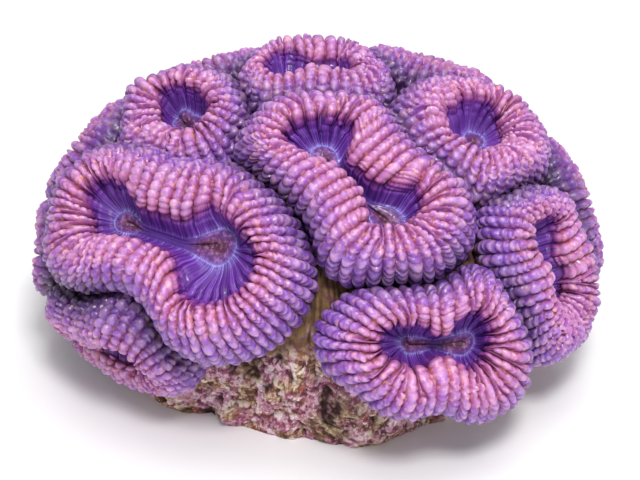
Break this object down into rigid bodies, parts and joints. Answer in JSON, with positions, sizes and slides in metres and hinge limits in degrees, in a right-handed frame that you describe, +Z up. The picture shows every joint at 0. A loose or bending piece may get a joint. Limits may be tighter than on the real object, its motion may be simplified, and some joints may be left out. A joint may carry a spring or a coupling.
{
  "type": "brain coral",
  "caption": "Lobed brain coral on reef rock: ribbed fleshy lobes with sunken mouths crowd over a low dome, and the rock below is cut off flat to stand on.",
  "frame": {"origin": "middle of the rock's flat cut face, which lies at Z = 0", "axes": "+Z up, -Y towards the side with the large two-mouthed lobe, +X to the right seen from there"},
  "size_m": [0.2073, 0.1783, 0.1114],
  "materials": {
    "coral_flesh": "wet, beaded violet to pink flesh over a stony skeleton",
    "reef_rock": "rough, pitted, with pink crusts"
  },
  "bodies": {
    "root": {"lobe_front_left": "coral_flesh", "lobe_centre": "coral_flesh", "lobe_front_right": "coral_flesh", "lobe_right": "coral_flesh", "lobe_upper_right": "coral_flesh", "lobe_upper_left": "coral_flesh", "lobe_top": "coral_flesh", "lobe_low_left": "coral_flesh", "lobe_side_left": "coral_flesh", "lobe_back_left": "coral_flesh", "lobe_side_right": "coral_flesh", "lobe_top_right": "coral_flesh", "lobe_top_left": "coral_flesh", "lobe_back_top": "coral_flesh", "lobe_back_low_left": "coral_flesh", "lobe_back_low_right": "coral_flesh", "lobe_back_bottom": "coral_flesh", "lobe_under_right": "coral_flesh", "reef_rock": "reef_rock"}
  },
  "joints": []
}
